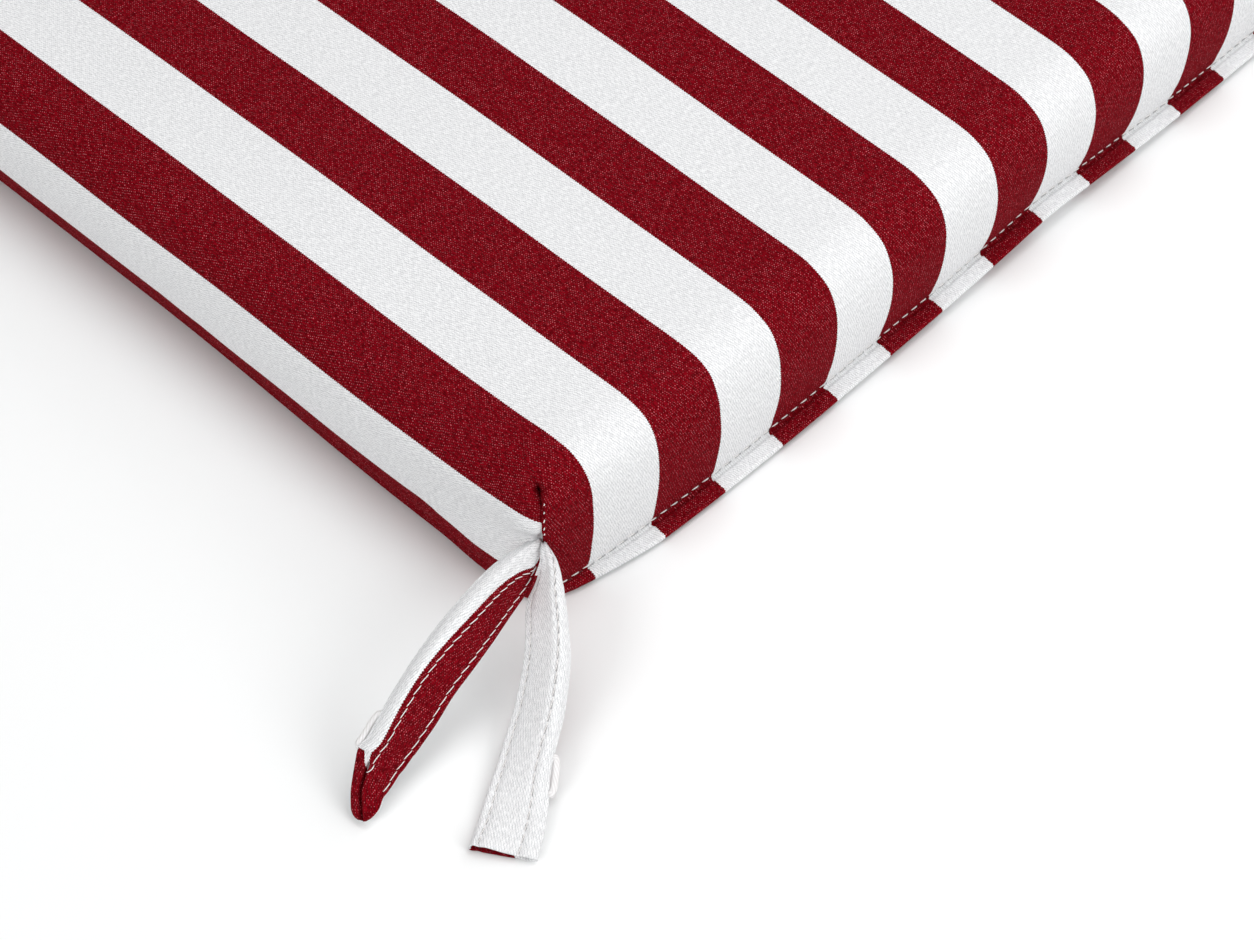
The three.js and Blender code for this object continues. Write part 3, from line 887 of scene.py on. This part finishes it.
def stitchGeometry(points, normals, sizes, first=0):
    # arched capsules one pitch apart: line + normal * (rise * cos(pi t)^arch - sink), t from -0.5 to 0.5
    s = Sizes(**sizes)
    reach = pathReach(points)
    count = int((reach[-1] - s.dash) / s.pitch) + 1
    middle = (np.arange(count) + 0.5) * reach[-1] / count
    share = np.linspace(-0.5, 0.5, s.rings)
    at = middle[:, None] + share * s.dash
    line, up = alongPath(points, reach, at), unit(alongPath(normals, reach, at))
    side = unit(np.cross(unit(alongPath(points, reach, at + 0.2) - alongPath(points, reach, at - 0.2)), up))
    lift = s.rise * np.cos(math.pi * share) ** s.arch - s.sink
    centre = line + up * lift[:, None] + side * (s.slant * share)[:, None]
    thick = s.radius * np.sqrt(np.clip(1 - (s.endSquare * share) ** s.endPower, s.endLeast, 1))
    tube, turn = tubeAround(centre, side, up, thick[:, None, None], s.sides)
    starts = first + (np.arange(count) * s.rings * s.sides)[:, None, None]
    quads, caps = ((faces[None, :, ::-1] + starts).reshape(-1, faces.shape[1])
                   for faces in tubeFaces(s.rings, s.sides))
    uv = np.stack(np.broadcast_arrays(turn * s.radius, at[:, :, None]), -1).reshape(-1, 2)
    return tube.reshape(-1, 3), quads, caps, uv


def makeStitches(name, lines, sizes):
    # all the stitches of the lines as one piece
    parts, first = [], 0
    for line, normals in lines:
        parts.append(stitchGeometry(line, normals, sizes, first))
        first += len(parts[-1][0])
    points, quads, caps, uv = (np.concatenate(part) for part in zip(*parts))
    corners = np.concatenate([quads.ravel(), caps.ravel()])
    piece = addMesh(name, points, [quads, caps], thread, uv[corners])
    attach(piece, "root")
    return piece


rowSizes = {
    "seamStop": 6.0,  # how far from the side the flange's row ends
    "seamFacing": (0.0, 0.8, 0.6),
    "seamRaise": 0.1,
    "dartTop": 5.0,  # the corner's stitches keep this far below the dart's top and above its tuck
    "dartFoot": 3.0,
    "dartTilt": 0.3,
    "dartRaise": 1.3,
    "dartAside": 0.5,
}


def seamLines(line, isEnd, sizes):
    # the two stretches of the seam that have a flange, with the way that the stitches face
    s = Sizes(**sizes)
    flanged = isEnd & (np.abs(line[:, 0]) < cushionSizes["halfX"] - s.seamStop)
    lines = []
    for side in (1, -1):
        stretch = line[flanged & (np.sign(line[:, 1]) == side)]
        stretch = stretch[np.argsort(stretch[:, 0])]
        facing = np.tile(unit(np.array(s.seamFacing) * (1, side, 1)), (len(stretch), 1))
        lines.append((stretch + facing * s.seamRaise, facing))
    return lines


def dartStitchLines(columns, sizes):
    # the few stitches that show in each corner seam
    s = Sizes(**sizes)
    foot, top = dartSizes["tuckHeight"] + s.dartFoot, dartSizes["top"] - s.dartTop
    lines = []
    for column in columns:
        chosen = column[(column[:, 2] < top) & (column[:, 2] > foot)]
        way = np.sign(column[0]) * (1, 1, 0)
        facing = np.tile(unit(way + (0, 0, s.dartTilt)), (len(chosen), 1))
        lines.append((chosen + facing * s.dartRaise + way * (-s.dartAside, s.dartAside, 0), facing))
    return lines


makeStitches("seam_stitches", seamLines(seamLine, endSegment, rowSizes), seamStitch)
makeStitches("corner_stitches", dartStitchLines(dartLines, rowSizes), dartStitch)
print("seams stitched")


# ties and loops

tieSizes = {
    "thickness": 2.3,
    "skin": 0.5,
    "rootSink": 2.0,  # how deep in the corner the crease starts
    "rootOut": 0.4,
    "pinch": 0.42,  # how far a stitch row presses the strap, to each side
    "pinchWidth": 0.9,
    "pressedFrom": (0.45, 0.85),  # shares of the full width from which the rows press it
    "ripple": 0.06,  # the cloth rises a little between one stitch and the next
    "ripplePitch": 4.4,
    "rippleWidth": 1.6,
    "stitchedFrom": 0.58,
    "creaseRound": 1.6,
    "gather": 0.3,  # waves across the strap where it is sewn in
    "gatherFade": 7.0,
    "gatherTurns": 19.0,
    "thinnest": 0.04,
    "slimLeast": 0.12,  # a strap thins where it narrows, by a power of its share of the full width
    "slimPower": 0.35,
    "tipLeast": 0.03,
    "markNarrow": 1.5,  # how much narrower a strap's painted stitch shadows and dents are than the seam's
    "markSide": 0.1,
    "stations": 80,
    "closeFrom": 68.0,
    "closeStations": 56,
    "noseLines": 7,
    "middleLines": 40,
    "creaseLines": 17,
    "creaseSpan": (2.2, 0.6),
    "flat": (38.0, 95.0),
}
rowNames = ("out", "aside", "height", "face", "faceDrop", "band", "bandDrop")
sideTie = {
    "name": "side",
    "heading": 8, "towards": 1, "loop": (68.8, 75.6), "loopOut": 0.3, "loopUp": 0.4,
    "cut": (13.2, 5.2),  # the face's and the band's full widths
    "rows": (2.5, 11.5, 17.3),  # stitch rows, from the face's free edge
    "markRows": (),  # rows whose painted stitch shadows and dents show
    "turnBack": (78.6, 80.6),  # where the second row turns to the crease and ends
    "turnWidth": 1.6,
    "groove": (77.0, 79.0),  # where a slit opens beside the crease
    "grooveAside": -0.9,
    "grooveDepth": 2.2,
    "grooveWidth": 0.45,
    "tipRound": 2.4,
    "turned": 75.8,  # where the band's white cloth ends over the red
    "turnedPast": 0.4,
    "step": 0.4,
    "hem": 0.8,  # the rounded fold of that white end
    "hemWidth": 0.55,
    "bandSide": (0.3, -0.5),
    "stepSide": (0.3, -0.3),
    "tongue": 4.2,  # how much further it goes on beside the crease
    "tongueFrom": (3.0, 2.2, 1.5),  # from the band's edge: where it starts, its slope's width, its most
    "rootWhite": 10.0,  # how far the white goes past the crease at the root
    "rootFade": (9.0, 1.5),
    "middleWhite": 1.5,
    "middleFrom": (66, 28),
    "redReach": (-8, 20),
    "backRed": (12.6, 12.0),  # the lower side is red this far past the band, from this far out
    "sections": [
        (-1.0, -0.6, 28.6, 3.4, 80, 2.4, 55),
        (2.6, -0.8, 29.8, 7.0, 75, 3.6, 48),
        (8.0, -1.0, 31.0, 10.6, 71, 4.5, 38),
        (17.6, -0.5, 32.4, 12.6, 70, 5.0, 22),
        (30.5, 0.0, 33.6, 13.2, 62, 5.2, 24),
        (44.3, 0.0, 32.4, 13.2, 54, 5.2, 30),
        (55.1, 0.0, 29.0, 13.2, 56, 5.2, 32),
        (65.0, 0.2, 23.8, 13.2, 58, 5.0, 26),
        (73.4, 0.3, 17.6, 12.2, 62, 4.7, 18),
        (76.5, 0.6, 14.9, 11.0, 62, 5.7, 6),
        (79.6, 0.9, 12.2, 9.6, 62, 4.8, 4),
        (84.0, 1.9, 7.8, 6.5, 46, 3.8, 4),
        (86.4, 3.7, 5.0, 4.8, 32, 4.0, 8),
        (88.6, 5.6, 2.8, 3.6, 18, 3.9, 12),
    ],
}
endTie = {
    "name": "end",
    "heading": 38, "towards": -1, "loop": (57.6, 66.0), "loopOut": 0.3, "loopUp": 0.5,
    "cut": (13.9, 4.8),
    "rows": (2.7, 13.5, 17.7),
    "markRows": (2.7, 13.5),
    "edgeWhite": 0.2,  # how far under its free edge the lower side's red begins, and the white beyond it
    "lastWhite": 6.0,
    "mouth": 1.6,  # how far its open end gapes, beside the face's free edge
    "mouthFrom": 74.0,
    "mouthSides": ((0, 0.12), (0.85, 0.25)),
    "sections": [
        (-0.6, -0.6, 29.0, 1.2, 66, 0.9, 80),
        (2.2, -1.9, 30.6, 3.2, 62, 1.6, 80),
        (8.2, -4.4, 30.8, 9.2, 60, 3.6, 78),
        (16.0, -6.1, 29.0, 13.4, 50, 4.6, 72),
        (25.6, -7.6, 25.4, 13.0, 43, 4.8, 64),
        (34.2, -8.5, 21.4, 13.7, 42, 4.8, 56),
        (45.8, -8.0, 14.8, 13.9, 38, 4.8, 52),
        (56.2, -7.0, 9.4, 13.8, 28, 3.4, 44),
        (62.2, -6.3, 6.9, 13.6, 22, 3.2, 36),
        (68.2, -5.5, 4.8, 13.5, 13, 4.2, 24),
        (77.0, -4.6, 2.9, 13.8, 6, 4.8, 8),
        (86.0, -3.6, 1.9, 14.4, 1, 4.8, 1),
    ],
}


def dartPlace(sizes, ties):
    # the corner dart's place in plan, where the ties' creases start
    radius = sizes["rollWidth"] * (1 + sizes["cornerSquare"])
    reach = (radius - ties["rootSink"]) * math.sqrt(0.5) + ties["rootOut"] - sizes["rollWidth"]
    return drawIn(np.array([[sizes["halfX"] + reach, sizes["halfY"] + reach, 0]]), sizes)[0]


def tieFrames(shape, out):
    # at each distance out: the crease, and the level and upright directions across the strap's way
    heading = math.radians(shape["heading"])
    outward = np.array([math.cos(heading), math.sin(heading), 0])
    toOther = np.array([-math.sin(heading), math.cos(heading), 0]) * shape["towards"]

    def crease(at):
        row = splineRows(shape["sections"], at)
        point = dartPlace(cushionSizes, tieSizes) + outward * row[:, :1] + toOther * row[:, 1:2]
        point[:, 2] = row[:, 2]
        return point

    way = unit(crease(out + 0.5) - crease(out - 0.5))
    level = unit(toOther - way * (way @ toOther)[:, None])
    upright = np.cross(way, level) * shape["towards"]
    row = splineRows(shape["sections"], out)
    return crease(out), way, level, upright, {name: row[:, i] for i, name in enumerate(rowNames)}


def strapLine(face, band, row, place, roundness):
    # the strap's middle line in its section: two straight legs joined round the crease
    # place runs from -band to face; a = (p + sqrt(p^2 + r^2)) / 2 along the face, b likewise on the band
    faceTurn, bandTurn = np.radians(row["faceDrop"])[:, None], np.radians(row["bandDrop"])[:, None]
    root = np.sqrt(place ** 2 + np.minimum(roundness, np.minimum(face, band)) ** 2)

    def legs(onFace, onBand):
        return (onFace * np.cos(faceTurn) - onBand * np.cos(bandTurn),
                -onFace * np.sin(faceTurn) - onBand * np.sin(bandTurn))

    line = np.stack(legs((place + root) / 2, (root - place) / 2), -1)
    dx, dy = legs((1 + place / root) / 2, (place / root - 1) / 2)
    length = np.hypot(dx, dy)
    return line, np.stack([-dy / length, dx / length], -1)


def strapPlaces(shape, sizes):
    # places over the strap from the band's edge, as shares of its width, close together at both edges
    s = Sizes(**sizes)
    total = sum(shape["cut"])
    nose = s.thickness / 2
    turn = np.linspace(0, math.pi / 2, s.noseLines)[:-1]
    near = nose * (1 - np.cos(turn)) / total
    rows = 1 - np.array(shape["rows"]) / total
    crease = shape["cut"][1] / total
    middle = np.union1d(
        np.linspace(nose / total, 1 - nose / total, s.middleLines),
        np.linspace(crease - s.creaseSpan[0] / total, crease + s.creaseSpan[1] / total, s.creaseLines))
    middle[np.abs(middle[None] - rows[:, None]).argmin(1)] = rows
    return np.concatenate([near, middle, 1 - near[::-1]]), total


def strapHalf(shape, places, total, row, sizes):
    # half the strap's thickness: round at both edges, pressed thin by the stitch rows, full at the root
    s = Sizes(**sizes)
    wide = smoothStep(*s.pressedFrom, (row["face"] + row["band"]) / total)[:, None]
    distance = places * total
    nose = s.thickness / 2
    edge = np.minimum(np.minimum(distance, total - distance) / nose, 1)
    roundness = np.sqrt(np.clip(1 - (1 - edge) ** 2, 0, 1))
    ripple = s.ripple * np.sin(2 * math.pi * row["out"] / s.ripplePitch)[:, None]
    half = np.full((len(row["out"]), len(places)), nose) * roundness
    for line in shape["rows"]:
        gap = distance - (total - line)
        half -= wide * s.pinch * np.exp(-(gap / s.pinchWidth) ** 2) * roundness
        half += wide * ripple * np.exp(-(gap / s.rippleWidth) ** 2) * roundness
    return half


def strapFace(shape, half, frames, inset, sign, places, total):
    # one side of the strap, or of its inside: the middle line plus its normal * offset, where the offset is
    # half the thickness with the root's gathers, the side tie's slit and hem, and the end tie's open mouth
    crease, _, level, upright, row = frames
    s, t = Sizes(**tieSizes), Sizes(**shape)
    out = row["out"][:, None]
    closing = 1.0
    if "tipRound" in shape:
        tip = np.clip((out - out[-1] + t.tipRound) / t.tipRound, 0, 1)
        closing = np.sqrt(np.maximum(1 - tip ** 2, s.tipLeast))
    face, band = row["face"][:, None] * closing, row["band"][:, None] * closing
    width = face + band
    slim = np.clip(width / total, s.slimLeast, 1) ** s.slimPower
    edge = np.minimum(inset, 0.3 * width)
    place = edge + places * (width - 2 * edge) - band
    line, normal = strapLine(face, band, row, place, s.creaseRound)
    gather = s.gather * np.exp(-np.maximum(out, 0) / s.gatherFade) * np.sin(places * s.gatherTurns + 1)
    offset = sign * np.maximum((half - inset) * slim, s.thinnest * (half > 0.02)) + gather * (half > 0.3)
    if "groove" in shape:
        slit = np.exp(-((place - t.grooveAside) / t.grooveWidth) ** 2)
        offset = offset - smoothStep(*t.groove, out) * t.grooveDepth * slit
        onBand, beyond = smoothStep(*t.bandSide, place), out - t.turned
        step = t.step * smoothStep(*t.stepSide, beyond) + t.hem * np.exp(-(beyond / t.hemWidth) ** 2)
        offset = offset + onBand * step * (sign > 0)
    if "mouth" in shape:
        share = (face - place) / face
        gape = smoothStep(t.mouthFrom, out[-1], out)
        for low, high in t.mouthSides:
            gape = gape * smoothStep(low, high, share)
        offset = offset + t.mouth * gape * (sign > 0)
    flat = line + normal * offset[..., None]
    return crease[:, None] + level[:, None] * flat[..., :1] + upright[:, None] * flat[..., 1:]


def acrossStrap(skin, places, share):
    # the point of each station's row of points at a share of the strap's width
    k = np.clip(np.searchsorted(places, share) - 1, 0, len(places) - 2)
    part = ((share - places[k]) / (places[k + 1] - places[k]))[:, None]
    station = np.arange(len(skin))
    return skin[station, k] * (1 - part) + skin[station, k + 1] * part


def rowDistance(shape, places, total):
    # how far each column lies from the nearest row of painted stitch shadows and dents
    both = np.concatenate([places, places[-2:0:-1]]) * total
    distance = np.abs(both[:, None] - (total - np.array(shape["markRows"]))[None])
    return distance.min(1, initial=noSeam)


def jointPlace(shape, out):
    # where the white of the side tie's band ends, in millimetres from the band's edge: further in at the root
    # by rootWhite * exp(-(out / length)^power)
    if shape["name"] != "side":
        return np.full(len(out), shape["cut"][1])
    t = Sizes(**shape)
    root = t.rootWhite * np.exp(-(np.maximum(out, 0) / t.rootFade[0]) ** t.rootFade[1])
    return t.cut[1] + root + t.middleWhite * smoothStep(*t.middleFrom, out)


def stripePlace(shape, around, fromJoint, out, total):
    # where in the stripes each part of the strap was cut: 13 mm of red beside 25 mm of white
    stripe = canvasLook["stripe"] / mm
    redStart = canvasLook["firstBorder"] / mm
    redEnd = redStart + stripe
    faces, far = around.mean(1, keepdims=True), out.mean(1, keepdims=True)
    if shape["name"] == "side":
        t = Sizes(**shape)
        start, slope, most = t.tongueFrom
        turned = t.turned + t.turnedPast + t.tongue * np.clip((around - start) / slope, 0, most)
        red = np.clip(np.maximum(fromJoint, out - turned), *t.redReach)
        beyond = (faces > t.cut[1] + t.backRed[0]) & (far > t.backRed[1])
        return np.where(beyond, redEnd + 1 + around - faces, redStart + red)
    place = redEnd + stripe + around - total - shape["edgeWhite"]
    return np.where(faces > 2 * total - shape["lastWhite"], place - 2 * total, place)


def stitchLines(shape, upper, lower, places, total, row, joint):
    # the stitch rows on both sides of the strap, where it is wide enough to carry them
    wide = (row["face"] + row["band"]) > tieSizes["stitchedFrom"] * total
    lines = []
    for number, fromEdge in enumerate(shape["rows"][:2]):
        chosen, sides = wide, ((upper, lower), (lower, upper))
        share = np.full(len(wide), 1 - fromEdge / total)
        if number and "turnBack" in shape:
            first, last = shape["turnBack"]
            chosen, sides = wide & (row["out"] < last), sides[:1]
            share = joint + shape["turnWidth"] / total * smoothStep(last, first, row["out"]) ** 0.5
        for skin, other in sides:
            line, back = acrossStrap(skin, places, share)[chosen], acrossStrap(other, places, share)[chosen]
            lines.append((line, unit(line - back)))
    return lines


def makeTie(shape, side, sizes):
    # a hollow strap: an outer and an inner skin over stations by columns, joined by a rim at each end
    s = Sizes(**sizes)
    out = np.concatenate([
        np.linspace(shape["sections"][0][0], s.closeFrom, s.stations)[:-1],
        np.linspace(s.closeFrom, shape["sections"][-1][0], s.closeStations),
    ])
    frames = tieFrames(shape, out)
    places, total = strapPlaces(shape, sizes)
    half = strapHalf(shape, places, total, frames[4], sizes)
    upper, lower, upperInside, lowerInside = (
        strapFace(shape, half, frames, inset, sign, places, total)
        for inset in (0.0, s.skin) for sign in (1, -1)
    )
    skin = np.concatenate([upper, lower[:, -2:0:-1]], 1)
    inside = np.concatenate([upperInside, lowerInside[:, -2:0:-1]], 1)
    points = np.concatenate([skin.reshape(-1, 3), inside.reshape(-1, 3)])
    joint = jointPlace(shape, out) / total
    rowLines = stitchLines(shape, upper, lower, places, total, frames[4], joint)
    steps = np.linalg.norm(np.diff(skin, axis=1, append=skin[:, :1]), axis=2)
    around = np.concatenate([np.zeros((len(out), 1)), np.cumsum(steps, 1)], 1)
    fromJoint = around - acrossStrap(around[..., None], places, joint)
    along = pathReach(frames[0])

    stations, count = skin.shape[:2]
    gap, last = stations * count, (stations - 1) * count
    i = np.arange(count)
    k = (i + 1) % count
    quads = np.concatenate([
        gridQuads(stations, count, wrap=True),
        gridQuads(stations, count, first=gap, wrap=True)[:, ::-1],
        np.stack([i + gap, k + gap, k, i], -1),
        np.stack([k + last + gap, i + last + gap, i + last, k + last], -1),
    ])

    # every face knows its station and its column, so that the stripe can jump at the cloth's own joint
    vertexColumn, vertexStation = quads % count, (quads % gap) // count
    wraps = (vertexColumn.max(1) - vertexColumn.min(1)) > 1
    column = np.where(wraps[:, None] & (vertexColumn == 0), count, vertexColumn)
    nominal = np.concatenate([places, 2 - places[-2:0:-1], [2]])[column] * total
    stripes = stripePlace(shape, nominal, fromJoint[vertexStation, column], out[vertexStation], total)
    fromRow = rowDistance(shape, places, total)
    fromRow = s.markNarrow * np.append(fromRow, fromRow[0])[column] - s.markSide
    far = along[vertexStation]
    pace = seamStitch["pitch"] / tieStitch["pitch"]
    maps = [np.stack(pair, -1) for pair in (
        (around[vertexStation, column], far), (stripes, far), (far * pace, fromRow))]
    if side * shape["towards"] > 0:
        quads, maps = quads[:, ::-1], [values[:, ::-1] for values in maps]
    uv, stripes, seam = (values.reshape(-1, 2) for values in maps)
    name = f"tie_{'right' if side > 0 else 'left'}_{shape['name']}"
    layers = {"stripes": stripes, "seam": seam}
    piece = addMesh(name + "_cloth", points * (side, 1, 1), [quads], canvas, uv, layers)
    lines = [(line * (side, 1, 1), facing * (side, 1, 1)) for line, facing in rowLines]
    stitches = makeStitches(name + "_stitches", lines, tieStitch)
    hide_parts(name)
    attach(piece, "root")
    return piece, stitches


loopSizes = {
    "radius": 1.0, "stand": 1.6, "sink": 0.4, "over": 0.6, "bowPower": 0.28, "steps": 40, "sides": 12,
}


def makeLoop(shape, side, sizes):
    # a cord that rises from the band's edge, runs beside it and dives back: stand * sin(pi s)^bowPower - sink
    s = Sizes(**sizes)
    share = np.linspace(0, 1, s.steps + 1)
    first, last = shape["loop"]
    out = first - s.over + (last - first + 2 * s.over) * share
    crease, way, level, upright, row = tieFrames(shape, out)
    turn = np.radians(row["bandDrop"])[:, None]
    across = -np.cos(turn) * level - np.sin(turn) * upright
    above = -np.sin(turn) * level + np.cos(turn) * upright
    bow = np.sin(math.pi * share) ** s.bowPower
    stand = (s.stand + shape["loopOut"]) * bow - s.sink
    line = crease + across * (row["band"] + stand)[:, None] + above * (shape["loopUp"] * bow)[:, None]
    ahead = unit(np.gradient(line, axis=0))
    facing = unit(np.cross(ahead, np.cross(across, way)))
    tube, angle = tubeAround(line, facing, np.cross(ahead, facing), s.radius, s.sides)
    quads, caps = tubeFaces(len(share), s.sides)
    if side < 0:
        quads, caps = quads[:, ::-1], caps[:, ::-1]
    grid = np.stack(np.broadcast_arrays(angle * s.radius, pathReach(line)[:, None]), -1).reshape(-1, 2)
    corners = np.concatenate([quads.ravel(), caps.ravel()])
    name = f"loop_{'right' if side > 0 else 'left'}_{shape['name']}"
    piece = addMesh(name + "_cord", tube.reshape(-1, 3) * (side, 1, 1), [quads, caps], cord, grid[corners])
    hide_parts(name)
    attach(piece, "root")
    return piece


# floor and light

stageSizes = {
    "floor": 3.0 / mm,
    "floorDrop": 0.05,
    "floorWhite": (0.9, 0.906, 0.906),
    "roughness": 0.9,
    "aim": (0.1, 0.1, 0.0),  # what every light points at, in metres
    "world": 0.11,
}


def addFloor(sizes):
    # a square a hair below the cushion
    s = Sizes(**sizes)
    corners = np.array([[-1, -1, 0], [1, -1, 0], [1, 1, 0], [-1, 1, 0]]) * s.floor
    material, _, shader = newMaterial("pale floor")
    shader.inputs["Base Color"].default_value = (*s.floorWhite, 1)
    shader.inputs["Roughness"].default_value = s.roughness
    floor = addMesh("floor", corners - (0, 0, s.floorDrop), [np.array([[0, 1, 2, 3]])], material)


lightTable = [
    # name, place in metres, size, watts
    ("overhead", (0.1, 0.1, 1.9), 1.6, 10.5),
    ("back", (0.1, 2.0, 1.2), 1.2, 12.3),
    ("low back", (0.1, 2.4, 0.6), 1.0, 5.5),
    ("front", (2.0, 0.1, 1.2), 1.2, 20.2),
    ("broad", (-0.7, 1.0, 1.8), 2.6, 23.0),
    ("far", (-1.6, 0.1, 1.4), 1.2, 5.0),
]


def addLight(name, place, size, watts, aim):
    # a disk lamp that looks along minus back, the direction from the aim to its place
    data = bpy.data.lights.new(name, "AREA")
    data.shape, data.size, data.energy = "DISK", size, watts
    back = unit(np.array(place) - np.array(aim))
    right = unit(np.cross((0.0, 1.0, 0.0) if abs(back[2]) > 0.99 else (0.0, 0.0, 1.0), back))
    placeObject(name, data, right, np.cross(back, right), back, place)


def addWorld(strength):
    # even white light from all round
    world = bpy.data.worlds.new("soft white room")
    world.use_nodes = True
    background = world.node_tree.nodes["Background"]
    background.inputs["Color"].default_value = (1, 1, 1, 1)
    background.inputs["Strength"].default_value = strength
    bpy.context.scene.world = world


addFloor(stageSizes)
for row in lightTable:
    addLight(*row, stageSizes["aim"])
addWorld(stageSizes["world"])
bpy.context.scene.view_settings.view_transform = "Standard"
print("stage set")

for shape in (sideTie, endTie):
    for side in (1, -1):
        tie, stitches = makeTie(shape, side, tieSizes)
        loop = makeLoop(shape, side, loopSizes)
print("ties made")
